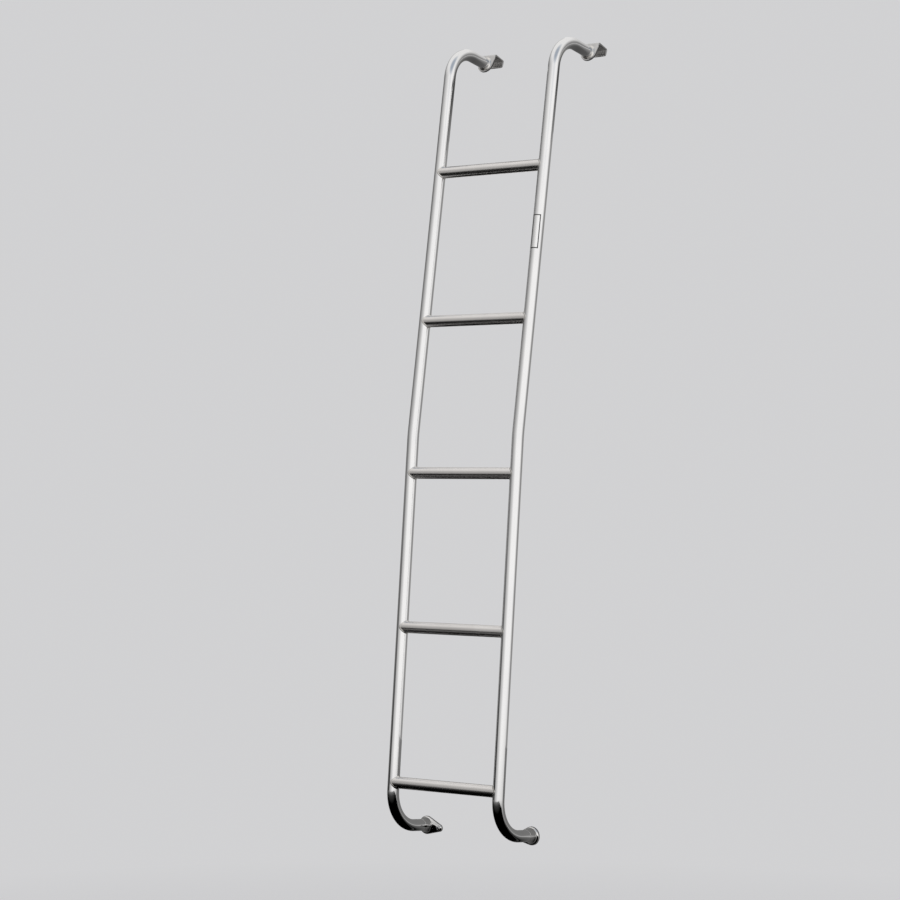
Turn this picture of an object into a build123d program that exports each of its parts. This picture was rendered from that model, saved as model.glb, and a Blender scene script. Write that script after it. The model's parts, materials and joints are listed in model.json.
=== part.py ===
from build123d import *
import os
from math import acos, atan2, cos, degrees, floor, hypot, radians, sin

# Rear door ladder for a van, in millimetres and degrees.
# The origin is on the door, at the centre of the lower left pad.
# +X runs along the rungs to the right, +Y runs towards the door and +Z is up.

# Tubes, which the plates and welds close at every end, so they are solid inside here
STILE_DIAMETER = 25.4
RUNG_DIAMETER = 25.0
STILE_SPACING = 279.4

# Side shape of a stile: its leans, and its runs between the corners of the centre line
LOWER_LEAN = 5.2
UPPER_LEAN = 9.3
TOP_END_DROP = 12.0
LOWER_STANDOFF = 126.0
CORNER_TO_KINK = 834.0
KINK_TO_TOP_CORNER = 864.0
UPPER_STANDOFF = 124.0
FOOT_BEND_RADIUS = 76.0
KINK_BEND_RADIUS = 250.0
TOP_BEND_RADIUS = 66.0

# Rungs, spaced along the stiles from the foot corner
CORNER_TO_FIRST_RUNG = 92.0
RUNG_PITCH = 330.2
LEAST_TOP_GAP = 150.0

# Plates on the four tube ends, each with a rubber pad against the door, which leans at the top
LOWER_DOOR_LEAN = 0.0
UPPER_DOOR_LEAN = 21.0
PLATE_RIM = 3.0
PAD_THICKNESS = 2.0

# Lower flanges, with a flared neck round the tube and a tail for the screw
FLANGE_THICKNESS = 6.0
FLANGE_BEVEL = 2.0
NECK_FLARE = 4.0
NECK_LENGTH = 14.0
TAIL_REACH = 34.0
TAIL_DROP = 7.0
TAIL_RADIUS = 8.0
SCREW_HOLE_RADIUS = 3.3
PAD_HOLE_CLEARANCE = 0.7

# Upper hook brackets
HOOK_THICKNESS = 3.0
HOOK_WIDTH = 46.0
HOOK_RISE = 22.0
HOOK_FOLD_RADIUS = 1.0
HOOK_SHOULDER = 1.0
HOOK_DEPTH = 26.0
HOOK_LIP = 14.0

STILE_RADIUS = STILE_DIAMETER / 2
PLATE_RADIUS = STILE_RADIUS + NECK_FLARE + PLATE_RIM
SHOULDER_LINE = HOOK_RISE - HOOK_THICKNESS - HOOK_FOLD_RADIUS - HOOK_SHOULDER
FLANGE_FACE = PAD_THICKNESS + FLANGE_THICKNESS
HOOK_FACE = PAD_THICKNESS + HOOK_THICKNESS
TAIL_CENTRE = (TAIL_REACH * cos(radians(TAIL_DROP)), -TAIL_REACH * sin(radians(TAIL_DROP)))


def up_along(lean):
    """Unit vector up a stile that leans towards the door."""
    return Vector(0, sin(radians(lean)), cos(radians(lean)))


def door_side(drop):
    """Unit vector towards the door, falling by the given angle."""
    return Vector(0, cos(radians(drop)), -sin(radians(drop)))


# Corners of the left stile's centre line, with its lower pad's face at the origin
FOOT_DIRECTION = door_side(LOWER_LEAN)
TOP_DIRECTION = door_side(TOP_END_DROP)
FOOT_CORNER = FOOT_DIRECTION * -LOWER_STANDOFF
KINK = FOOT_CORNER + up_along(LOWER_LEAN) * CORNER_TO_KINK
TOP_CORNER = KINK + up_along(UPPER_LEAN) * KINK_TO_TOP_CORNER
UPPER_FACE = TOP_CORNER + TOP_DIRECTION * UPPER_STANDOFF

# Signs of X towards the middle of the ladder, and the place of each stile
INWARD = {"left": 1, "right": -1}
ACROSS = {"left": Vector(0, 0, 0), "right": Vector(STILE_SPACING, 0, 0)}


def on_door(point, lean):
    """Plane on the door at a tube's end, with Z away from the door and Y up."""
    return Plane(point, x_dir=(1, 0, 0), z_dir=door_side(lean) * -1)


def lower_door(across):
    return on_door(across, LOWER_DOOR_LEAN)


def upper_door(across):
    return on_door(UPPER_FACE + across, UPPER_DOOR_LEAN)


def stile_path(across):
    points = [Vector(0, 0, 0), FOOT_CORNER, KINK, TOP_CORNER, UPPER_FACE]
    bends = [FOOT_BEND_RADIUS, KINK_BEND_RADIUS, TOP_BEND_RADIUS]
    return FilletPolyline(*[point + across for point in points], radius=bends)


def bent_stile(across):
    """Tube bent along the stile's centre line, cut off at the faces of its two plates."""
    path = stile_path(across)
    tube = sweep(Plane(path @ 0, z_dir=path % 0) * Circle(STILE_RADIUS), path)
    flange_room = lower_door(across) * extrude(Circle(PLATE_RADIUS), FLANGE_FACE, both=True)
    bracket_room = upper_door(across) * extrude(Circle(PLATE_RADIUS), HOOK_FACE, both=True)
    return tube - [flange_room, bracket_room]


def rung_centre(number):
    """Where the left end of a rung's axis meets the stile's centre line."""
    run = CORNER_TO_FIRST_RUNG + number * RUNG_PITCH
    if run < CORNER_TO_KINK:
        return FOOT_CORNER + up_along(LOWER_LEAN) * run
    return KINK + up_along(UPPER_LEAN) * (run - CORNER_TO_KINK)


def coped_rung(number, stiles):
    """Tube between the stiles' centre lines, with its ends saddled to their outsides."""
    left_end = Plane(rung_centre(number), z_dir=(1, 0, 0))
    return extrude(left_end * Circle(RUNG_DIAMETER / 2), STILE_SPACING) - stiles


def flared_neck(door):
    """Sloping ring round the tube's foot, made twice as long and cut off at the flange's face."""
    face = door.offset(FLANGE_FACE)
    tube_end = door.origin + FOOT_DIRECTION * (FLANGE_FACE / FOOT_DIRECTION.dot(face.z_dir))
    on_tube = (STILE_RADIUS, NECK_LENGTH)
    behind = (STILE_RADIUS, -NECK_LENGTH)
    beside = (STILE_RADIUS + 2 * NECK_FLARE, -NECK_LENGTH)
    ring = revolve(Plane.XZ * make_face(Polyline(on_tube, behind, beside, close=True)), Axis.Z)
    along_tube = Plane(tube_end, x_dir=(1, 0, 0), z_dir=FOOT_DIRECTION * -1)
    return split(along_tube * ring, bisect_by=face, keep=Keep.TOP)


def teardrop(inward):
    """Outline of a lower flange: a disc round the tube, drawn out inwards to the screw."""
    tangent = degrees(acos((PLATE_RADIUS - TAIL_RADIUS) / TAIL_REACH))
    disc = CenterArc((0, 0), PLATE_RADIUS, tangent, 360 - 2 * tangent)
    tail = CenterArc((TAIL_REACH, 0), TAIL_RADIUS, -tangent, 2 * tangent)
    sides = [Line(disc @ 1, tail @ 0), Line(tail @ 1, disc @ 0)]
    outline = Rot(0, 0, -TAIL_DROP) * make_face([disc, tail, *sides])
    return outline if inward > 0 else mirror(outline, Plane.YZ)


def screw_hole(inward, radius):
    return extrude(Pos(inward * TAIL_CENTRE[0], TAIL_CENTRE[1]) * Circle(radius), FLANGE_FACE)


def lower_flange(inward, door):
    plate = extrude(Pos(0, 0, PAD_THICKNESS) * teardrop(inward), FLANGE_THICKNESS)
    plate = chamfer(plate.faces().sort_by(Axis.Z)[-1].edges(), FLANGE_BEVEL)
    plate -= screw_hole(inward, SCREW_HOLE_RADIUS)
    return door * plate + flared_neck(door)


def lower_pad(inward):
    hole = screw_hole(inward, SCREW_HOLE_RADIUS + PAD_HOLE_CLEARANCE)
    return extrude(teardrop(inward), PAD_THICKNESS) - hole


def shield():
    """Outline of an upper plate: an arc below the tube, widening in tangents to the shoulders."""
    right = (HOOK_WIDTH / 2, SHOULDER_LINE)
    left = (-HOOK_WIDTH / 2, SHOULDER_LINE)
    tangent = degrees(atan2(right[1], right[0]) - acos(PLATE_RADIUS / hypot(*right)))
    arc = CenterArc((0, 0), PLATE_RADIUS, 180 - tangent, 180 + 2 * tangent)
    return make_face([arc, Line(arc @ 1, right), Line(right, left), Line(left, arc @ 0)])


def hook_strip():
    """Folded strip over the door's edge, from the plate's shoulders to the lip's end."""
    plate_middle = PAD_THICKNESS + HOOK_THICKNESS / 2
    lip_middle = -HOOK_DEPTH - HOOK_THICKNESS / 2
    leg_middle = HOOK_RISE - HOOK_THICKNESS / 2
    lip_end = HOOK_RISE - HOOK_THICKNESS - HOOK_LIP
    points = [
        (SHOULDER_LINE, plate_middle),
        (leg_middle, plate_middle),
        (leg_middle, lip_middle),
        (lip_end, lip_middle),
    ]
    middle = FilletPolyline(*points, radius=HOOK_FOLD_RADIUS + HOOK_THICKNESS / 2)
    return extrude(Plane.YZ * trace(middle, HOOK_THICKNESS), HOOK_WIDTH / 2, both=True)


def upper_bracket():
    return extrude(Pos(0, 0, PAD_THICKNESS) * shield(), HOOK_THICKNESS) + hook_strip()


def upper_pad():
    return extrude(shield(), PAD_THICKNESS)


def ladder():
    pieces = {f"{side}_stile": bent_stile(across) for side, across in ACROSS.items()}
    stiles = list(pieces.values())

    rung_room = CORNER_TO_KINK + KINK_TO_TOP_CORNER - LEAST_TOP_GAP - CORNER_TO_FIRST_RUNG
    for number in range(floor(rung_room / RUNG_PITCH) + 1):
        pieces[f"rung_{number + 1}"] = coped_rung(number, stiles)

    for side, across in ACROSS.items():
        lower = lower_door(across)
        upper = upper_door(across)
        pieces[f"lower_{side}_flange"] = lower_flange(INWARD[side], lower)
        pieces[f"lower_{side}_pad"] = lower * lower_pad(INWARD[side])
        pieces[f"upper_{side}_bracket"] = upper * upper_bracket()
        pieces[f"upper_{side}_pad"] = upper * upper_pad()
    return pieces


os.makedirs("parts", exist_ok=True)
for name, piece in ladder().items():
    export_step(piece, f"parts/{name}.step")
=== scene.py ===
import json
from math import acos, asin, atan2, ceil, cos, hypot, pi, radians, sin, sqrt, tan

import bmesh
import bpy
from mathutils import Matrix, Vector
from mathutils.geometry import intersect_line_plane, tessellate_polygon


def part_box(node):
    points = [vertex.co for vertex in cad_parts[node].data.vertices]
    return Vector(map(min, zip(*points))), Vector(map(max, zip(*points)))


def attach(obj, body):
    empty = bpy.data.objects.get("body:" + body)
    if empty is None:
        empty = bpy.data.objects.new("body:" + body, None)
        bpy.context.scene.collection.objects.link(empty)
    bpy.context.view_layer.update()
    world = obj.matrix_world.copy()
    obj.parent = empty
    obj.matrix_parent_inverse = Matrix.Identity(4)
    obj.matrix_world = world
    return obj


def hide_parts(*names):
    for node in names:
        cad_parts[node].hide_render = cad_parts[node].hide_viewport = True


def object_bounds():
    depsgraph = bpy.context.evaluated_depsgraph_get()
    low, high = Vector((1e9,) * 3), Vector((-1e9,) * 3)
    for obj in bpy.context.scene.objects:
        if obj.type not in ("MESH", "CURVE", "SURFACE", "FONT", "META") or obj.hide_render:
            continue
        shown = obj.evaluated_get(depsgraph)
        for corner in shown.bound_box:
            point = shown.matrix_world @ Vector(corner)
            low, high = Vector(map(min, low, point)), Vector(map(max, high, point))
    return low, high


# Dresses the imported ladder, in metres and in the part's own frame.
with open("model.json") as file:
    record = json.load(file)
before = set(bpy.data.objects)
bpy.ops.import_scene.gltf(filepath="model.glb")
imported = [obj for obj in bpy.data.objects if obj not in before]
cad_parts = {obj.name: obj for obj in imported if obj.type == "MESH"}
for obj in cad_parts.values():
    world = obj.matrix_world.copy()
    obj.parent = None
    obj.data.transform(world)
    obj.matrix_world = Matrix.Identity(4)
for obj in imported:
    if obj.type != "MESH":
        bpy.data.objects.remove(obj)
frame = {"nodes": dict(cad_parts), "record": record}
cad_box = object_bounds()

MM = 0.001
ACROSS = Vector((1, 0, 0))

# Signs of X towards the middle of the ladder
SIDES = {"left": 1, "right": -1}

# Sizes repeated from the part, where the frame doesn't give them
LOWER_LEAN = radians(5.2)
TOP_END_DROP = radians(12)
LOWER_STANDOFF = 126 * MM
UPPER_STANDOFF = 124 * MM
CORNER_TO_KINK = 834 * MM
FOOT_BEND_RADIUS = 76 * MM
KINK_BEND_RADIUS = 250 * MM
TOP_BEND_RADIUS = 66 * MM
PAD_THICKNESS = 2 * MM
NECK_FLARE = 4 * MM
NECK_LENGTH = 14 * MM
PLATE_RIM = 3 * MM
FLANGE_THICKNESS = 6 * MM
TAIL_RADIUS = 8 * MM
PAD_HOLE_RADIUS = 4 * MM
HOOK_THICKNESS = 3 * MM
HOOK_WIDTH = 46 * MM
HOOK_RISE = 22 * MM
HOOK_FOLD_RADIUS = 1 * MM
HOOK_SHOULDER = 1 * MM
HOOK_DEPTH = 26 * MM
HOOK_LIP = 14 * MM

# How finely the meshes are cut
BEND_STEP = radians(2.5)
TUBE_SIDES = 72
WELD_STEPS = 6
RIPPLE_STEPS = 6
NECK_STEPS = 10
FLANGE_TOP_STEPS = 13
TEARDROP_DISC_STEPS = 40
TEARDROP_SIDE_STEPS = 12
TEARDROP_TAIL_STEPS = 16
HOLE_SIDES = 32
SCREW_SIDES = 48
SCREW_CROWN_STEPS = 7
SHIELD_ARC_STEPS = 24
SHIELD_FLANK_STEPS = 8
FOLD_STEPS = 8
LIP_CORNER_STEPS = 6
EDGE_STEPS = 4
LABEL_STEPS = 24
CREASE = radians(38)
SAME_PLACE = 0.001 * MM

# Where the tubes and the neck sink into what carries them
RUNG_SINK = 0.4 * MM
TUBE_SINK = 0.4 * MM
NECK_SINK = 1.6 * MM
NECK_INSIDE = 0.97

# Welds
PLATE_WELD_LEG = 3.4 * MM
RUNG_WELD_LEG = 1.9 * MM
WELD_CROWN = 0.35 * MM
WELD_RIPPLE = 0.07 * MM
RIPPLE_PITCH = 2.2 * MM
RIPPLE_BOW = 2.5
WELD_ROOT = 0.1

# Plates and pads, whose levels are how far in and how high the rings of their edges are
NECK_LIP = 0.2 * MM
FLANGE_SIDE = 1 * MM
FLANGE_TOP_TURN = radians(78)
PLATE_EDGE = 0.6 * MM
EDGE_SHARE = 0.9
SHIELD_START = radians(3)
LIP_CORNER = 4 * MM
LIP_CORNER_TURN = radians(80)
PAD_BULGE = 0.35 * MM
PAD_LEVELS = [
    (PAD_BULGE, 0),
    (0, PAD_THICKNESS * 0.35),
    (0, PAD_THICKNESS * 0.65),
    (PAD_BULGE, PAD_THICKNESS),
]

# Screws
SCREW_SINK = 1.1 * MM
SCREW_HEAD_RADIUS = 5.2 * MM
SCREW_HEAD_HEIGHT = 2.9 * MM
SCREW_HEAD_SIDE = 0.6 * MM
SCREW_EDGE = 0.2 * MM
SCREW_SHANK_RADIUS = 3 * MM
SCREW_TIP_RADIUS = 2.4 * MM
SCREW_TIP_LENGTH = 0.6 * MM
SCREW_END = 0.6 * MM
SOCKET_HALF_WIDTH = 1.9 * MM
SOCKET_RIM_RADIUS = 2.47 * MM
SOCKET_EDGE = 0.15 * MM
SOCKET_DEPTH = 1.8 * MM

# Label
LABEL_HEIGHT = 1268 * MM
LABEL_LENGTH = 73 * MM
LABEL_TURN = radians(12)
LABEL_HALF_WRAP = radians(41)
LABEL_FILM = 0.15 * MM
LABEL_BORDER = 2.1 * MM

# Places and directions from the frame
mounts = {mount["name"]: mount for mount in frame["record"]["mounts"]}


def spot(mount):
    return Vector(mounts[mount]["pos_m"])


def backwards(mount):
    return Vector(mounts[mount]["axis"])


def middle(node):
    low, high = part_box(node)
    return (Vector(low) + Vector(high)) / 2


def extent(node, axis):
    low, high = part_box(node)
    return high[axis] - low[axis]


STILE_RADIUS = extent("left_stile", 0) / 2
STILE_SPACING = spot("lower_right_face").x - spot("lower_left_face").x
RUNGS = sorted(name for name in frame["nodes"] if name.startswith("rung_"))
RUNG_RADIUS = extent("rung_1", 1) / 2
PLATE_RADIUS = STILE_RADIUS + NECK_FLARE + PLATE_RIM
FLANGE_FACE = PAD_THICKNESS + FLANGE_THICKNESS
HOOK_FACE = PAD_THICKNESS + HOOK_THICKNESS
HOOK_HALF_WIDTH = HOOK_WIDTH / 2
FOLD_START = HOOK_RISE - HOOK_THICKNESS - HOOK_FOLD_RADIUS
SHOULDER_LINE = FOLD_START - HOOK_SHOULDER

FOOT_DIRECTION = Vector((0, cos(LOWER_LEAN), -sin(LOWER_LEAN)))
TOP_DIRECTION = Vector((0, cos(TOP_END_DROP), -sin(TOP_END_DROP)))
LOWER_RUN = ACROSS.cross(FOOT_DIRECTION)
FOOT_CORNER = spot("lower_left_face") - FOOT_DIRECTION * LOWER_STANDOFF
KINK = FOOT_CORNER + LOWER_RUN * CORNER_TO_KINK
TOP_CORNER = spot("upper_left_face") - TOP_DIRECTION * UPPER_STANDOFF
UPPER_RUN = (TOP_CORNER - KINK).normalized()


def shift(side):
    """Offset from the left stile to the named one."""
    return ACROSS * (STILE_SPACING if side == "right" else 0)


def pad_back(mount):
    """Frame on the back of a pad, where the tube's axis meets it, with Z forwards and Y up."""
    out = -backwards(mount)
    up = out.cross(ACROSS)
    turned = Matrix((ACROSS, up, out)).transposed().to_4x4()
    return Matrix.Translation(spot(mount)) @ turned


def beside_tube(mount, direction, face):
    """Gives points round a tube's end, by angle, radius and distance along it from a plate."""
    out = -backwards(mount)
    level = spot(mount) + out * face
    up = ACROSS.cross(direction)

    def point(angle, radius, away):
        start = spot(mount) + (ACROSS * cos(angle) + up * sin(angle)) * radius
        return intersect_line_plane(start, start + direction, level, out) - direction * away

    return point


SCREW_PLACE = pad_back("lower_left_face").inverted() @ spot("lower_left_screw_hole")
TAIL_REACH = hypot(SCREW_PLACE.x, SCREW_PLACE.y)
TAIL_DROP = atan2(-SCREW_PLACE.y, SCREW_PLACE.x)


def screw_axis(side):
    """Where the screw stands on a lower plate."""
    return Vector((SIDES[side] * SCREW_PLACE.x, SCREW_PLACE.y, 0))


# Mesh helpers

def turns(count, start=0.0, sweep=2 * pi):
    """Angles over a sweep, without its end."""
    return [start + sweep * i / count for i in range(count)]


def arc(count, start, sweep):
    """Angles over a sweep, with its end."""
    return turns(count, start, sweep) + [start + sweep]


def lifted(points, height):
    return [Vector((point.x, point.y, height)) for point in points]


def moved(place, rows):
    return [[place @ point for point in row] for row in rows]


def skin(bm, rows, joined=False):
    """Faces through rings of points. The end rings are closed by fans unless they are joined."""
    uv = bm.loops.layers.uv.verify()
    rings = [[bm.verts.new(point) for point in row] for row in rows]
    runs = [0.0]
    arounds = [0.0]
    for row, after in zip(rows, rows[1:] + rows[:1]):
        runs.append(runs[-1] + (after[0] - row[0]).length)
    for point, after in zip(rows[0], rows[0][1:] + rows[0][:1]):
        arounds.append(arounds[-1] + (after - point).length)

    count = len(rings[0])
    pairs = len(rings) if joined else len(rings) - 1
    for i in range(pairs):
        ring = rings[i]
        after = rings[(i + 1) % len(rings)]
        for j in range(count):
            k = (j + 1) % count
            face = bm.faces.new((ring[j], ring[k], after[k], after[j]))
            places = [(j, i), (j + 1, i), (j + 1, i + 1), (j, i + 1)]
            for loop, (column, row) in zip(face.loops, places):
                loop[uv].uv = (arounds[column], runs[row])
    if not joined:
        fan(bm, rings[0])
        fan(bm, rings[-1])


def fan(bm, ring):
    centre = sum((vert.co for vert in ring), Vector()) / len(ring)
    hub = bm.verts.new(centre)
    for vert, after in zip(ring, ring[1:] + ring[:1]):
        bm.faces.new((vert, after, hub))


def walled_plate(bm, outer, inner):
    """Plate with one hole: walls through the outer rings and the hole's, and two faces."""
    for rows in (outer, inner):
        rings = [[bm.verts.new(point) for point in row] for row in rows]
        for ring, after in zip(rings, rings[1:]):
            for j in range(len(ring)):
                k = (j + 1) % len(ring)
                bm.faces.new((ring[j], ring[k], after[k], after[j]))
    for level in (0, -1):
        loops = [outer[level], inner[level]]
        verts = [bm.verts.new(point) for loop in loops for point in loop]
        for triangle in tessellate_polygon(loops):
            bm.faces.new([verts[corner] for corner in triangle])
    bmesh.ops.remove_doubles(bm, verts=bm.verts, dist=SAME_PLACE)


def linked(name, data):
    made = bpy.data.objects.new(name, data)
    bpy.context.scene.collection.objects.link(made)
    return made


def mesh_object(name, bm, material):
    mesh = bpy.data.meshes.new(name)
    bm.to_mesh(mesh)
    bm.free()
    mesh.materials.append(material)
    return linked(name, mesh)


def piece(name, bm, material, nodes=()):
    """Finished object from a mesh: smooth but for its creases, riding on the ladder."""
    bmesh.ops.recalc_face_normals(bm, faces=bm.faces)
    made = mesh_object(name, bm, material)
    made.data.shade_smooth()
    made.data.set_sharp_from_angle(angle=CREASE)
    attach(made, "root")
    if nodes:
        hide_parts(*nodes)
    return made


# Material helpers

def shader_of(name):
    material = bpy.data.materials.new(name)
    material.use_nodes = True
    return material, material.node_tree, material.node_tree.nodes["Principled BSDF"]


def noise(tree, coordinate, stretch, detail):
    """Noise over a texture coordinate, with its own frequency along each axis, per metre."""
    place = tree.nodes.new("ShaderNodeTexCoord")
    mapping = tree.nodes.new("ShaderNodeMapping")
    node = tree.nodes.new("ShaderNodeTexNoise")
    mapping.inputs["Scale"].default_value = stretch
    node.inputs["Scale"].default_value = 1.0
    node.inputs["Detail"].default_value = detail
    tree.links.new(place.outputs[coordinate], mapping.inputs["Vector"])
    tree.links.new(mapping.outputs["Vector"], node.inputs["Vector"])
    return node.outputs["Fac"]


def spread(tree, value, low, high, start=0.3, end=0.7):
    """Brings a value from its range, which is a noise's if none is given, to low and high."""
    node = tree.nodes.new("ShaderNodeMapRange")
    node.inputs["From Min"].default_value = start
    node.inputs["From Max"].default_value = end
    node.inputs["To Min"].default_value = low
    node.inputs["To Max"].default_value = high
    tree.links.new(value, node.inputs["Value"])
    return node.outputs["Result"]


def calculated(tree, operation, first, second):
    node = tree.nodes.new("ShaderNodeMath")
    node.operation = operation
    tree.links.new(first, node.inputs[0])
    tree.links.new(second, node.inputs[1])
    return node.outputs["Value"]


def blended(tree, value, low_colour, high_colour):
    node = tree.nodes.new("ShaderNodeMix")
    node.data_type = "RGBA"
    node.inputs["A"].default_value = (*low_colour, 1)
    node.inputs["B"].default_value = (*high_colour, 1)
    tree.links.new(value, node.inputs["Factor"])
    return node.outputs["Result"]


def bumped(tree, shader, height, strength, distance):
    node = tree.nodes.new("ShaderNodeBump")
    node.inputs["Strength"].default_value = strength
    node.inputs["Distance"].default_value = distance
    tree.links.new(height, node.inputs["Height"])
    tree.links.new(node.outputs["Normal"], shader.inputs["Normal"])


def surface(name, colours, clouds, grain, roughness, cloud_roughness=0, bump=None, metallic=1):
    """Material whose colour follows its clouds, and whose roughness and bump follow its grain."""
    material, tree, shader = shader_of(name)
    wide = noise(tree, *clouds)
    fine = noise(tree, *grain)
    tint = blended(tree, spread(tree, wide, 0, 1), *colours)
    tree.links.new(tint, shader.inputs["Base Color"])
    rough = spread(tree, fine, *roughness)
    if cloud_roughness:
        rough = calculated(tree, "ADD", rough, spread(tree, wide, 0, cloud_roughness))
    tree.links.new(rough, shader.inputs["Roughness"])
    if bump:
        bumped(tree, shader, fine, *bump)
    shader.inputs["Metallic"].default_value = metallic
    return material


# Materials. Clouds and grain give the coordinate, the stretch and the detail of a noise,
# roughness its range, and bump its strength and depth.

# Polished tubes: fine polishing lines along them, and faint cloudy smears
TUBE_SMEARS = "Object", (14, 14, 9), 5
TUBE_BUMP = 0.01, 0.01 * MM
STILE_STEEL = surface(
    "stile_steel",
    colours=((0.83, 0.83, 0.84), (0.89, 0.89, 0.89)),
    clouds=TUBE_SMEARS,
    grain=("UV", (2600, 18, 1), 3),
    roughness=(0.05, 0.09),
    cloud_roughness=0.02,
    bump=TUBE_BUMP,
)
RUNG_STEEL = surface(
    "rung_steel",
    colours=((0.75, 0.73, 0.715), (0.82, 0.8, 0.785)),
    clouds=TUBE_SMEARS,
    grain=("UV", (2200, 40, 1), 3),
    roughness=(0.18, 0.25),
    cloud_roughness=0.035,
    bump=TUBE_BUMP,
)

# Formed plates: linishing marks in short strokes, with faint cloudy smears
PLATE_SMEARS = "Object", (60, 60, 60), 3
PLATE_STROKES = "Object", (180, 2600, 2600), 3
PLATE_BUMP = 0.02, 0.02 * MM
FLANGE_STEEL = surface(
    "flange_steel",
    colours=((0.74, 0.735, 0.73), (0.82, 0.815, 0.81)),
    clouds=PLATE_SMEARS,
    grain=PLATE_STROKES,
    roughness=(0.05, 0.1),
    cloud_roughness=0.05,
    bump=PLATE_BUMP,
)
# The brackets' steel is darker than the flanges': painted shade, which makes the upper plates come
# out mid-grey
BRACKET_STEEL = surface(
    "bracket_steel",
    colours=((0.56, 0.555, 0.55), (0.64, 0.635, 0.63)),
    clouds=PLATE_SMEARS,
    grain=PLATE_STROKES,
    roughness=(0.2, 0.3),
    cloud_roughness=0.05,
    bump=PLATE_BUMP,
)

# Brushed-over welds: grainier than the tubes, with a trace of straw from the heat
WELD_STEEL = surface(
    "weld_steel",
    colours=((0.74, 0.73, 0.72), (0.82, 0.79, 0.74)),
    clouds=("Object", (120, 120, 120), 3),
    grain=("Object", (1500, 1500, 1500), 4),
    roughness=(0.16, 0.3),
    bump=(0.05, 0.03 * MM),
)

# Plain machine screws, lightly scuffed
SCREW_SCUFFS = "Object", (700, 700, 700), 5
SCREW_STEEL = surface(
    "screw_steel",
    colours=((0.5, 0.5, 0.51), (0.66, 0.66, 0.66)),
    clouds=SCREW_SCUFFS,
    grain=SCREW_SCUFFS,
    roughness=(0.18, 0.34),
    bump=(0.04, 0.03 * MM),
)

# Black sheet rubber with a fine matt grain, greyer where it is dusty
PAD_RUBBER = surface(
    "pad_rubber",
    colours=((0.014, 0.014, 0.015), (0.04, 0.04, 0.041)),
    clouds=("Object", (90, 90, 90), 3),
    grain=("Object", (1800, 1800, 1800), 4),
    roughness=(0.62, 0.85),
    bump=(0.35, 0.1 * MM),
    metallic=0,
)

# Bare silvery film with a fine grain
FILM_GRAIN = "Object", (2200, 2200, 300), 3
LABEL_SILVER = surface(
    "label_film",
    colours=((0.9, 0.9, 0.9), (0.95, 0.95, 0.95)),
    clouds=FILM_GRAIN,
    grain=FILM_GRAIN,
    roughness=(0.16, 0.24),
)

# Dark print of the label's border
INK_COLOURS = (0.008, 0.008, 0.009), (0.025, 0.025, 0.025)
INK_WEAR = "Object", (900, 900, 900), 4
INK_ROUGHNESS = 0.5


def label_ink():
    """Dark printed line, worn thin in places."""
    material, tree, shader = shader_of("label_ink")
    wear = spread(tree, noise(tree, *INK_WEAR), 0, 1)
    tree.links.new(blended(tree, wear, *INK_COLOURS), shader.inputs["Base Color"])
    shader.inputs["Roughness"].default_value = INK_ROUGHNESS
    return material


LABEL_INK = label_ink()


# Stiles and rungs

def bend(before, corner, after, radius):
    """Points and directions round one bend of a tube's centre line."""
    arriving = (corner - before).normalized()
    leaving = (after - corner).normalized()
    turn = arriving.angle(leaving)
    start = corner - arriving * radius * tan(turn / 2)
    axis = arriving.cross(leaving).normalized()
    centre = start + axis.cross(arriving) * radius
    steps = max(2, ceil(turn / BEND_STEP))
    stations = []
    for i in range(steps + 1):
        rotation = Matrix.Rotation(turn * i / steps, 3, axis)
        stations.append((centre + rotation @ (start - centre), rotation @ arriving))
    return stations


def stile_stations():
    stations = bend(spot("lower_left_face"), FOOT_CORNER, KINK, FOOT_BEND_RADIUS)
    stations += bend(FOOT_CORNER, KINK, TOP_CORNER, KINK_BEND_RADIUS)
    return stations + bend(KINK, TOP_CORNER, spot("upper_left_face"), TOP_BEND_RADIUS)


def stile(side):
    """Bent tube, sunk a little into the faces of its two plates."""
    foot = beside_tube(f"lower_{side}_face", FOOT_DIRECTION, FLANGE_FACE)
    top = beside_tube(f"upper_{side}_face", TOP_DIRECTION, HOOK_FACE)
    angles = turns(TUBE_SIDES)
    rows = [[foot(a, STILE_RADIUS, -TUBE_SINK) for a in angles]]
    for point, direction in stile_stations():
        out = direction.cross(ACROSS)
        centre = point + shift(side)
        rows.append([centre + (ACROSS * cos(a) + out * sin(a)) * STILE_RADIUS for a in angles])
    rows.append([top(-a, STILE_RADIUS, -TUBE_SINK) for a in angles])
    bm = bmesh.new()
    skin(bm, rows)
    piece(f"{side}_stile_tube", bm, STILE_STEEL, [f"{side}_stile"])


def rung_directions(node):
    """Directions up the stiles and to the ladder's back, where this rung meets them."""
    up = LOWER_RUN if middle(node).z < KINK.z else UPPER_RUN
    return up, up.cross(ACROSS)


def saddle_depth(offset):
    """How far a stile's surface stands from its axis, at an offset to its front or back."""
    return sqrt(STILE_RADIUS**2 - offset**2)


def rung(node):
    """Straight tube whose ends are saddled to the stiles and sunk a little into them."""
    up, back = rung_directions(node)
    centre = middle(node)
    straight = STILE_SPACING / 2 - STILE_RADIUS - 2 * RUNG_WELD_LEG
    ends = []
    runs = []
    for hand in (-1, 1):
        end = []
        run = []
        for a in turns(TUBE_SIDES):
            beside = centre + (back * cos(a) + up * sin(a)) * RUNG_RADIUS
            reach = STILE_SPACING / 2 - saddle_depth(RUNG_RADIUS * cos(a)) + RUNG_SINK
            end.append(beside + ACROSS * hand * reach)
            run.append(beside + ACROSS * hand * straight)
        ends.append(end)
        runs.append(run)
    bm = bmesh.new()
    skin(bm, [ends[0], runs[0], runs[1], ends[1]])
    piece(f"{node}_tube", bm, RUNG_STEEL, [node])


# Welds

def ripple(count, a):
    """Height of a weld's crown at one place round it: ripples that bow along the bead."""
    return lambda t: WELD_CROWN + WELD_RIPPLE * sin(count * a - RIPPLE_BOW * (2 * t - 1) ** 2)


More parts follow.
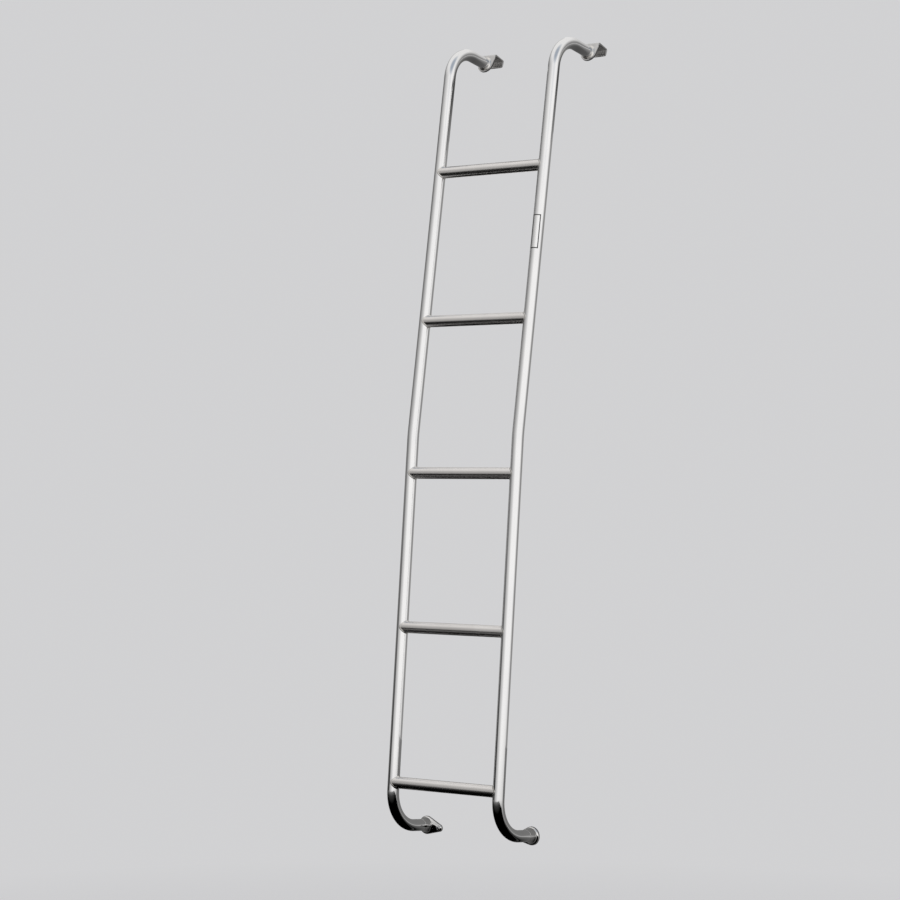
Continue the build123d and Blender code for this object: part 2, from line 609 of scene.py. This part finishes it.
def crowned(first, last, corner, crown):
    """Points over a weld's face between its two toes, raised from the corner."""
    outwards = ((first + last) / 2 - corner).normalized()
    points = []
    for i in range(WELD_STEPS + 1):
        t = i / WELD_STEPS
        points.append(first.lerp(last, t) + outwards * crown(t) * 4 * t * (1 - t))
    return points


def rung_welds(node):
    """Saddle-shaped beads at both ends of a rung."""
    up, back = rung_directions(node)
    centre = middle(node)
    count = round(2 * pi * RUNG_RADIUS / RIPPLE_PITCH)
    bm = bmesh.new()
    for hand in (-1, 1):
        axis = centre + ACROSS * hand * STILE_SPACING / 2
        inwards = ACROSS * -hand
        columns = []
        for a in turns(count * RIPPLE_STEPS):
            offset = RUNG_RADIUS * cos(a)
            rise = RUNG_RADIUS * sin(a)
            corner = axis + inwards * saddle_depth(offset) + back * offset + up * rise
            wrap = asin(offset / STILE_RADIUS) + RUNG_WELD_LEG * cos(a) / STILE_RADIUS
            on_stile = axis + (inwards * cos(wrap) + back * sin(wrap)) * STILE_RADIUS
            on_stile += up * (rise + RUNG_WELD_LEG * sin(a))
            on_rung = corner + inwards * RUNG_WELD_LEG
            root = corner - (back * offset + up * rise) * WELD_ROOT
            columns.append(crowned(on_rung, on_stile, corner, ripple(count, a)) + [root])
        skin(bm, columns, joined=True)
    piece(f"{node}_welds", bm, WELD_STEEL)


def plate_weld(side):
    """Hollow bead between a tube's top end and its plate."""
    point = beside_tube(f"upper_{side}_face", TOP_DIRECTION, HOOK_FACE)
    count = round(2 * pi * STILE_RADIUS / RIPPLE_PITCH)
    columns = []
    for a in turns(count * RIPPLE_STEPS):
        crown = ripple(count, a)
        root = point(a, STILE_RADIUS - WELD_CROWN, -WELD_CROWN)
        on_tube = point(a, STILE_RADIUS, PLATE_WELD_LEG)
        on_plate = point(a, STILE_RADIUS + PLATE_WELD_LEG, 0)
        columns.append(crowned(on_tube, on_plate, root, lambda t: -crown(t)) + [root])
    bm = bmesh.new()
    skin(bm, columns, joined=True)
    piece(f"upper_{side}_weld", bm, WELD_STEEL)


# Lower flanges, pads and screws

def round_point(radius, angle, away=0.0):
    return away + radius * cos(angle), radius * sin(angle)


def between(first, last, steps):
    """Points from the first towards the last, without the last."""
    (x, y), (last_x, last_y) = first, last
    ways = [i / steps for i in range(steps)]
    return [(x + (last_x - x) * t, y + (last_y - y) * t) for t in ways]


def teardrop(inward, shrink):
    """Ring of points round a lower plate, drawn in by shrink: disc, side, tail, side."""
    disc = PLATE_RADIUS - shrink
    tail = TAIL_RADIUS - shrink
    tangent = acos((disc - tail) / TAIL_REACH)
    disc_low, disc_high = (round_point(disc, a) for a in (-tangent, tangent))
    tail_low, tail_high = (round_point(tail, a, TAIL_REACH) for a in (-tangent, tangent))
    disc_angles = turns(TEARDROP_DISC_STEPS, tangent, 2 * pi - 2 * tangent)
    tail_angles = turns(TEARDROP_TAIL_STEPS, -tangent, 2 * tangent)
    points = [round_point(disc, a) for a in disc_angles]
    points += between(disc_low, tail_low, TEARDROP_SIDE_STEPS)
    points += [round_point(tail, a, TAIL_REACH) for a in tail_angles]
    points += between(tail_high, disc_high, TEARDROP_SIDE_STEPS)
    turned = [Matrix.Rotation(-TAIL_DROP, 2) @ Vector(point) for point in points]
    return [Vector((inward * point.x, point.y, 0)) for point in turned]


def teardrop_rings(side, levels):
    """Rings round a lower plate, each drawn in and raised as its level says."""
    return [lifted(teardrop(SIDES[side], shrink), height) for shrink, height in levels]


def flange_levels():
    """Levels of a lower flange: its low side, then its rounded top."""
    low = PAD_THICKNESS + FLANGE_SIDE
    levels = [(PLATE_EDGE / 2, PAD_THICKNESS), (0, PAD_THICKNESS + PLATE_EDGE / 2)]
    for a in arc(FLANGE_TOP_STEPS, 0, FLANGE_TOP_TURN):
        levels.append((TAIL_RADIUS * (1 - cos(a)), low + (FLANGE_FACE - low) * sin(a)))
    return levels


def neck_rings():
    """Radii of a flared neck and how far they are up the tube, from inside the flange."""
    rings = [(STILE_RADIUS + NECK_FLARE, -NECK_SINK)]
    for i in range(NECK_STEPS + 1):
        t = i / NECK_STEPS
        flare = NECK_LIP + (NECK_FLARE - NECK_LIP) * (1 - t) ** 2
        rings.append((STILE_RADIUS + flare, NECK_LENGTH * t))
    return rings + [(STILE_RADIUS * NECK_INSIDE, NECK_LENGTH)]


def lower_flange(side):
    """Rounded teardrop plate, with a flared neck round the end of the tube."""
    bm = bmesh.new()
    skin(bm, moved(pad_back(f"lower_{side}_face"), teardrop_rings(side, flange_levels())))
    neck = beside_tube(f"lower_{side}_face", FOOT_DIRECTION, FLANGE_FACE)
    angles = turns(TUBE_SIDES)
    skin(bm, [[neck(a, radius, away) for a in angles] for radius, away in neck_rings()])
    name = f"lower_{side}_flange_plate"
    piece(name, bm, FLANGE_STEEL, [f"lower_{side}_flange"])


def lower_pad(side):
    """Rubber under a lower flange, bulging a little at its edge, with a hole for the screw."""
    centre = screw_axis(side)
    angles = turns(HOLE_SIDES)
    hole = [centre + Vector((cos(a), sin(a), 0)) * PAD_HOLE_RADIUS for a in angles]
    outer = teardrop_rings(side, PAD_LEVELS)
    inner = [lifted(hole, 0), lifted(hole, PAD_THICKNESS)]
    place = pad_back(f"lower_{side}_face")
    bm = bmesh.new()
    walled_plate(bm, moved(place, outer), moved(place, inner))
    piece(f"lower_{side}_pad_rubber", bm, PAD_RUBBER, [f"lower_{side}_pad"])


def screw_profile(seat):
    """Radii and heights from a screw's end to the rim of its socket."""
    side_top = seat + SCREW_HEAD_SIDE
    profile = [
        (SCREW_TIP_RADIUS, SCREW_END),
        (SCREW_SHANK_RADIUS, SCREW_END + SCREW_TIP_LENGTH),
        (SCREW_SHANK_RADIUS, seat - SCREW_EDGE),
        (SCREW_HEAD_RADIUS - SCREW_EDGE, seat),
        (SCREW_HEAD_RADIUS, seat + SCREW_EDGE),
        (SCREW_HEAD_RADIUS, side_top),
    ]
    width = SCREW_HEAD_RADIUS - SOCKET_RIM_RADIUS
    crown = SCREW_HEAD_HEIGHT - SCREW_HEAD_SIDE
    for a in arc(SCREW_CROWN_STEPS, 0, pi / 2):
        profile.append((SOCKET_RIM_RADIUS + width * cos(a), side_top + crown * sin(a)))
    return profile


def screw(side):
    """Button-headed screw in a flange's tail, with a six-sided socket, ending in the pad's hole."""
    seat = FLANGE_FACE - SCREW_SINK
    top = seat + SCREW_HEAD_HEIGHT
    angles = turns(SCREW_SIDES)
    rows = [[Vector((r * cos(a), r * sin(a), h)) for a in angles] for r, h in screw_profile(seat)]
    six_sides = [SOCKET_HALF_WIDTH / cos((a + pi / 6) % (pi / 3) - pi / 6) for a in angles]
    for height in (top - SOCKET_EDGE, top - SOCKET_DEPTH):
        rows.append([Vector((r * cos(a), r * sin(a), height)) for r, a in zip(six_sides, angles)])
    place = pad_back(f"lower_{side}_face") @ Matrix.Translation(screw_axis(side))
    bm = bmesh.new()
    skin(bm, moved(place, rows))
    piece(f"lower_{side}_screw", bm, SCREW_STEEL)


# Upper brackets and pads

def shield_half_width(height):
    """Half the width of an upper plate at a height above the tube's axis."""
    corner = hypot(HOOK_HALF_WIDTH, SHOULDER_LINE)
    tangent = atan2(SHOULDER_LINE, HOOK_HALF_WIDTH) - acos(PLATE_RADIUS / corner)
    touch = PLATE_RADIUS * sin(tangent)
    if height <= touch:
        return sqrt(max(0, PLATE_RADIUS**2 - height**2))
    beside = PLATE_RADIUS * cos(tangent)
    way = min(1, (height - touch) / (SHOULDER_LINE - touch))
    return beside + (HOOK_HALF_WIDTH - beside) * way


def plate_heights():
    """Heights up an upper plate, closer together towards the foot of its arc."""
    angles = turns(SHIELD_ARC_STEPS, SHIELD_START, pi / 2 - SHIELD_START)
    low = [-PLATE_RADIUS * cos(a) for a in angles]
    ways = [i / SHIELD_FLANK_STEPS for i in range(SHIELD_FLANK_STEPS + 1)]
    return low + [SHOULDER_LINE * way for way in ways]


def bracket_stations():
    """Places up the plate, over the hook and down its lip, with folds and half widths."""
    fold_radius = HOOK_FOLD_RADIUS + HOOK_THICKNESS / 2
    plate = PAD_THICKNESS + HOOK_THICKNESS / 2
    lip = -HOOK_DEPTH - HOOK_THICKNESS / 2
    lip_end = HOOK_RISE - HOOK_THICKNESS - HOOK_LIP
    stations = [(height, plate, 0, shield_half_width(height)) for height in plate_heights()]
    for a in arc(FOLD_STEPS, 0, pi / 2):
        height = FOLD_START + fold_radius * sin(a)
        stations.append((height, plate - fold_radius * (1 - cos(a)), a, HOOK_HALF_WIDTH))
    for a in arc(FOLD_STEPS, 0, pi / 2):
        height = FOLD_START + fold_radius * cos(a)
        stations.append((height, lip + fold_radius * (1 - sin(a)), pi / 2 + a, HOOK_HALF_WIDTH))
    for a in arc(LIP_CORNER_STEPS, 0, LIP_CORNER_TURN):
        half = HOOK_HALF_WIDTH - LIP_CORNER * (1 - cos(a))
        stations.append((lip_end + LIP_CORNER * (1 - sin(a)), lip, pi, half))
    return stations


def strip_ring(height, away, fold, half):
    """Rounded section across the folded strip, at one station."""
    out = Vector((0, sin(fold), cos(fold)))
    centre = Vector((0, height, away))
    edge = min(PLATE_EDGE, half * EDGE_SHARE)
    flat_x = half - edge
    flat_z = HOOK_THICKNESS / 2 - edge
    ring = []
    for x, z, start in ((1, 1, 0), (-1, 1, pi / 2), (-1, -1, pi), (1, -1, 3 * pi / 2)):
        for a in arc(EDGE_STEPS, start, pi / 2):
            across = ACROSS * (x * flat_x + edge * cos(a))
            ring.append(centre + across + out * (z * flat_z + edge * sin(a)))
    return ring


def upper_bracket(side):
    """Shield-shaped plate whose top is folded back and down into a hook."""
    rows = [strip_ring(*station) for station in bracket_stations()]
    bm = bmesh.new()
    skin(bm, moved(pad_back(f"upper_{side}_face"), rows))
    name = f"upper_{side}_bracket_plate"
    piece(name, bm, BRACKET_STEEL, [f"upper_{side}_bracket"])


def upper_pad(side):
    """Rubber behind an upper plate, bulging a little at its edge."""
    right = [Vector((shield_half_width(height), height, 0)) for height in plate_heights()]
    left = [Vector((-point.x, point.y, 0)) for point in reversed(right)]
    rows = []
    for shrink, height in PAD_LEVELS:
        drawn_in = [point * (1 - shrink / PLATE_RADIUS) for point in right + left]
        rows.append(lifted(drawn_in, height))
    bm = bmesh.new()
    skin(bm, moved(pad_back(f"upper_{side}_face"), rows))
    piece(f"upper_{side}_pad_rubber", bm, PAD_RUBBER, [f"upper_{side}_pad"])


# Bare label

def bare_label():
    """Blank film with a dark border, wrapped on the right stile."""
    along = UPPER_RUN
    front = ACROSS.cross(along)
    centre = KINK + shift("right") + along * ((LABEL_HEIGHT - KINK.z) / along.z)
    bare_wrap = LABEL_HALF_WRAP - LABEL_BORDER / STILE_RADIUS
    inner = [bare_wrap * (2 * i / LABEL_STEPS - 1) for i in range(LABEL_STEPS + 1)]
    wraps = [-LABEL_HALF_WRAP, *inner, LABEL_HALF_WRAP]
    half = LABEL_LENGTH / 2
    runs = [-half, -half + LABEL_BORDER, half - LABEL_BORDER, half]
    bm = bmesh.new()
    grid = []
    for wrap in wraps:
        a = LABEL_TURN + wrap
        outwards = (front * cos(a) + ACROSS * sin(a)) * (STILE_RADIUS + LABEL_FILM)
        grid.append([bm.verts.new(centre + outwards + along * run) for run in runs])
    for i in range(len(wraps) - 1):
        for j in range(len(runs) - 1):
            corners = grid[i][j], grid[i + 1][j], grid[i + 1][j + 1], grid[i][j + 1]
            on_border = i in (0, len(wraps) - 2) or j in (0, len(runs) - 2)
            bm.faces.new(corners).material_index = int(on_border)
    made = piece("bare_label", bm, LABEL_SILVER)
    made.data.materials.append(LABEL_INK)


for side in SIDES:
    stile(side)
    lower_flange(side)
    lower_pad(side)
    screw(side)
    upper_bracket(side)
    upper_pad(side)
    plate_weld(side)

for node in RUNGS:
    rung(node)
    rung_welds(node)

bare_label()


# Studio: a plain floor and world, a soft key light, and a dome and cards of painted reflection that
# only reflections see

FLOOR_LEVEL = -0.55
FLOOR_RADIUS = 40
FLOOR_SIDES = 128
FLOOR_COLOUR = (0.8, 0.8, 0.81)
FLOOR_ROUGHNESS = 0.9
FLOOR_SHINE = 0.1
FLOOR_FADE = 1.2, 3.2
BACKDROP = (0.64, 0.64, 0.65)

KEY_TURN = radians(20)
KEY_DISTANCE = 4
KEY_RISE = 1.2
KEY_SIZE = 5, 4
KEY_WATTS = 60

# The dome is a painted reflection: a glow that is no lamp, seen only in the steel. Its levels paint
# the light and dark that the tubes mirror, its dark foot a painted dark ground. The dome's rows go
# round from the camera to its right, in degrees. Each gives the level there, the degrees up where
# the dome's foot ends, and the foot's level.
DOME_RADIUS = 30
DOME_SIDES = 64
DOME_RINGS = 32
DOME = [
    (-180, 0.3, -24, 0.12),
    (-165, 0.3, -22, 0.0),
    (-150, 0.25, -18, 0.0),
    (-130, 0.12, -8, 0.0),
    (-97, 0.34, 6, 0.0),
    (-85, 0.4, 3, 0.0),
    (-75, 0.47, -6, 0.0),
    (-47, 0.66, -6, 0.32),
    (-17, 1.0, -6, 0.4),
    (25, 1.0, -7, 0.4),
    (50, 1.0, -8, 0.24),
    (64, 1.0, -8, 0.22),
    (85, 0.6, -14, 0.2),
    (97, 0.3, -20, 0.2),
    (115, 0.24, -26, 0.2),
    (140, 0.4, -28, 0.2),
    (160, 0.4, -26, 0.2),
    (180, 0.3, -24, 0.12),
]
FOOT_BLUR = 0.12
ZENITH = 0.86
ZENITH_RISE = radians(18), radians(46)
PALE_GLOW = (1.0, 0.99, 0.98)
BLUE_GLOW = (0.46, 0.51, 0.58)
BLUE_TURN = radians(15)
BLUE_RISE = radians(54)
BLUE_EDGE = radians(34), radians(12)

# Cards near the ladder's ends, for its steel to mirror: painted reflections, glowing though they
# are no lamps. Their span along the rungs, then rows of distance to the back, height and level.
CARDS = {
    "lower_card": ((-1.0, 0.48), [
        (0.0, -0.6, 0.0),
        (0.0, -0.06, 0.0),
        (0.0, -0.03, 0.1),
        (0.0, -0.012, 0.14),
        # Painted highlight: a narrow bright row that the lower ends of the tubes mirror as a streak
        (0.0, -0.002, 0.45),
        (0.0, 0.01, 0.2),
        (0.0, 0.08, 0.16),
        (0.0, 0.18, 0.2),
    ]),
    "upper_card": ((-1.0, 0.48), [
        (0.15, 1.49, 0.25),
        # Painted shadow: a dark row that the top ends of the tubes mirror near the upper plates
        (0.192, 1.61, 0.07),
        (0.204, 1.645, 0.1),
        (0.209, 1.66, 0.2),
        (0.213, 1.672, 0.3),
        # Painted light: a bright top row that the top bends mirror
        (0.216, 1.682, 0.65),
    ]),
    # Painted dark reflection: a black sheet by the feet, which the lower bends mirror as dark
    # ground
    "painted_dark_ground_card": ((-0.9, 1.0), [
        (-0.75, 0.06, 0.25),
        (-0.45, 0.0, 0.04),
        (-0.3, -0.05, 0.0),
        (-0.02, -0.07, 0.0),
        (0.0, -0.07, 0.06),
    ]),
}

CAMERA_PLACE = Vector((3.6055, -4.5644, 0.7881))
CAMERA_TILT = radians(90.219)
CAMERA_TURN = radians(37.832)
CAMERA_LENS = 107.54
SENSOR = 36
TOWARDS_CAMERA = Vector((sin(CAMERA_TURN), -cos(CAMERA_TURN), 0))
RIGHTWARDS = Vector((cos(CAMERA_TURN), sin(CAMERA_TURN), 0))


def stage_piece(name, bm, material):
    made = mesh_object(name, bm, material)
    return made


def mixed(tree, share, low, high):
    """Goes from the low level to the high one, which may be a plain number."""
    node = tree.nodes.new("ShaderNodeMix")
    tree.links.new(share, node.inputs["Factor"])
    tree.links.new(low, node.inputs["A"])
    if isinstance(high, float):
        node.inputs["B"].default_value = high
    else:
        tree.links.new(high, node.inputs["B"])
    return node.outputs["Result"]


def along_axis(tree, vector, axis):
    node = tree.nodes.new("ShaderNodeVectorMath")
    node.operation = "DOT_PRODUCT"
    tree.links.new(vector, node.inputs[0])
    node.inputs[1].default_value = axis
    return node.outputs["Value"]


def distance_out(tree, start, end):
    """Share of the way from start to end, out from the middle of the stage."""
    place = tree.nodes.new("ShaderNodeTexCoord")
    flat = tree.nodes.new("ShaderNodeVectorMath")
    flat.operation = "MULTIPLY"
    flat.inputs[1].default_value = (1, 1, 0)
    length = tree.nodes.new("ShaderNodeVectorMath")
    length.operation = "LENGTH"
    tree.links.new(place.outputs["Object"], flat.inputs[0])
    tree.links.new(flat.outputs["Vector"], length.inputs[0])
    return spread(tree, length.outputs["Value"], 0, 1, start, end)


def floor_material():
    """Pale matt floor that fades into the backdrop's colour far from the ladder."""
    material, tree, shader = shader_of("floor")
    shader.inputs["Base Color"].default_value = (*FLOOR_COLOUR, 1)
    shader.inputs["Roughness"].default_value = FLOOR_ROUGHNESS
    shader.inputs["Specular IOR Level"].default_value = FLOOR_SHINE
    glow = tree.nodes.new("ShaderNodeEmission")
    glow.inputs["Color"].default_value = (*BACKDROP, 1)
    mix = tree.nodes.new("ShaderNodeMixShader")
    tree.links.new(distance_out(tree, *FLOOR_FADE), mix.inputs["Fac"])
    tree.links.new(shader.outputs["BSDF"], mix.inputs[1])
    tree.links.new(glow.outputs["Emission"], mix.inputs[2])
    tree.links.new(mix.outputs["Shader"], tree.nodes["Material Output"].inputs["Surface"])
    return material


def glowing(name):
    """Material with nothing but a glow, whose sockets the caller fills."""
    material, tree, shader = shader_of(name)
    tree.nodes.remove(shader)
    glow = tree.nodes.new("ShaderNodeEmission")
    tree.links.new(glow.outputs["Emission"], tree.nodes["Material Output"].inputs["Surface"])
    return material, tree, glow


def dome_ramp(tree, direction):
    """The dome's level, the height of its foot's edge and the foot's level, in one direction."""
    forward = along_axis(tree, direction, TOWARDS_CAMERA)
    sideways = along_axis(tree, direction, RIGHTWARDS)
    turn = calculated(tree, "ARCTAN2", sideways, forward)
    ramp = tree.nodes.new("ShaderNodeValToRGB")
    tree.links.new(spread(tree, turn, 0, 1, -pi, pi), ramp.inputs["Fac"])

    # A colour holds values from 0 to 1, so the edge's height is turned over and halved in it
    stops = ramp.color_ramp.elements
    for degrees_round, level, foot, foot_level in DOME:
        colour = (level, 0.5 - sin(radians(foot)) / 2, foot_level, 1)
        stops.new((degrees_round + 180) / 360).color = colour
    stops.remove(stops[0])
    stops.remove(stops[len(stops) - 1])
    split = tree.nodes.new("ShaderNodeSeparateColor")
    tree.links.new(ramp.outputs["Color"], split.inputs["Color"])
    below_edge = spread(tree, split.outputs["Green"], -1, 1, 0, 1)
    return split.outputs["Red"], below_edge, split.outputs["Blue"]


def nearness_to_blue(tree, direction):
    """Share of the way into the soft blue patch, a painted blue reflection high on the camera's
    side.
    """
    beside = TOWARDS_CAMERA * cos(BLUE_TURN) + RIGHTWARDS * sin(BLUE_TURN)
    patch = beside * cos(BLUE_RISE) + Vector((0, 0, sin(BLUE_RISE)))
    start, end = BLUE_EDGE
    return spread(tree, along_axis(tree, direction, patch), 0, 1, cos(start), cos(end))


def dome_material():
    """Painted reflection: soft light that changes round the horizon, darker at its foot and evener
    overhead.
    """
    material, tree, glow = glowing("dome")
    place = tree.nodes.new("ShaderNodeTexCoord")
    unit = tree.nodes.new("ShaderNodeVectorMath")
    unit.operation = "NORMALIZE"
    tree.links.new(place.outputs["Object"], unit.inputs[0])
    direction = unit.outputs["Vector"]
    height = along_axis(tree, direction, (0, 0, 1))

    level, below_edge, foot_level = dome_ramp(tree, direction)
    above_foot = calculated(tree, "ADD", height, below_edge)
    clear = spread(tree, above_foot, 0, 1, -FOOT_BLUR, FOOT_BLUR)
    low = mixed(tree, clear, foot_level, level)
    start, end = ZENITH_RISE
    strength = mixed(tree, spread(tree, height, 0, 1, sin(start), sin(end)), low, ZENITH)
    colour = blended(tree, nearness_to_blue(tree, direction), PALE_GLOW, BLUE_GLOW)
    tree.links.new(strength, glow.inputs["Strength"])
    tree.links.new(colour, glow.inputs["Color"])
    return material


def card_material():
    """Grey glow of a painted reflection, by the level stored in the card's points."""
    material, tree, glow = glowing("card")
    stored = tree.nodes.new("ShaderNodeAttribute")
    stored.attribute_name = "level"
    glow.inputs["Color"].default_value = (*PALE_GLOW, 1)
    tree.links.new(stored.outputs["Fac"], glow.inputs["Strength"])
    return material


def only_in_reflections(made):
    made.visible_camera = False
    made.visible_diffuse = False
    made.visible_shadow = False
    made.visible_transmission = False


def card(name, span, levels, material):
    """Strip of quads, with a level in each row of points."""
    bm = bmesh.new()
    layer = bm.verts.layers.float.new("level")
    rows = []
    for back, height, level in levels:
        row = [bm.verts.new((x, back, height)) for x in span]
        for vert in row:
            vert[layer] = level
        rows.append(row)
    for row, after in zip(rows, rows[1:]):
        bm.faces.new((row[0], row[1], after[1], after[0]))
    only_in_reflections(stage_piece(name, bm, material))


def floor():
    bm = bmesh.new()
    bmesh.ops.create_circle(bm, cap_ends=True, segments=FLOOR_SIDES, radius=FLOOR_RADIUS)
    made = stage_piece("floor", bm, floor_material())
    made.location.z = FLOOR_LEVEL
    made.visible_glossy = False


def dome(centre):
    bm = bmesh.new()
    bmesh.ops.create_uvsphere(bm, u_segments=DOME_SIDES, v_segments=DOME_RINGS, radius=DOME_RADIUS)
    made = stage_piece("dome", bm, dome_material())
    made.location = centre
    only_in_reflections(made)


def plain_world():
    world = bpy.data.worlds.new("plain")
    world.use_nodes = True
    world.node_tree.nodes["Background"].inputs["Color"].default_value = (*BACKDROP, 1)
    bpy.context.scene.world = world
    world.cycles_visibility.glossy = False


def key_light(centre):
    """Soft light from beside the camera, which no reflection shows."""
    light = bpy.data.lights.new("key", "AREA")
    light.shape = "RECTANGLE"
    light.size, light.size_y = KEY_SIZE
    light.energy = KEY_WATTS
    beside = TOWARDS_CAMERA * cos(KEY_TURN) + RIGHTWARDS * sin(KEY_TURN)
    made = linked("key", light)
    made.location = centre + beside * KEY_DISTANCE + Vector((0, 0, KEY_RISE))
    made.rotation_euler = (centre - made.location).to_track_quat("-Z", "Y").to_euler()
    made.visible_camera = False
    made.visible_glossy = False


def camera():
    data = bpy.data.cameras.new("camera")
    data.lens = CAMERA_LENS
    data.sensor_width = SENSOR
    made = linked("camera", data)
    made.location = CAMERA_PLACE
    made.rotation_euler = (CAMERA_TILT, 0, CAMERA_TURN)
    bpy.context.scene.camera = made


centre = (cad_box[0] + cad_box[1]) / 2
floor()
dome(centre)
card_glow = card_material()
for name, (span, levels) in CARDS.items():
    card(name, span, levels, card_glow)
plain_world()
key_light(centre)
camera()
bpy.context.scene.view_settings.view_transform = "Standard"
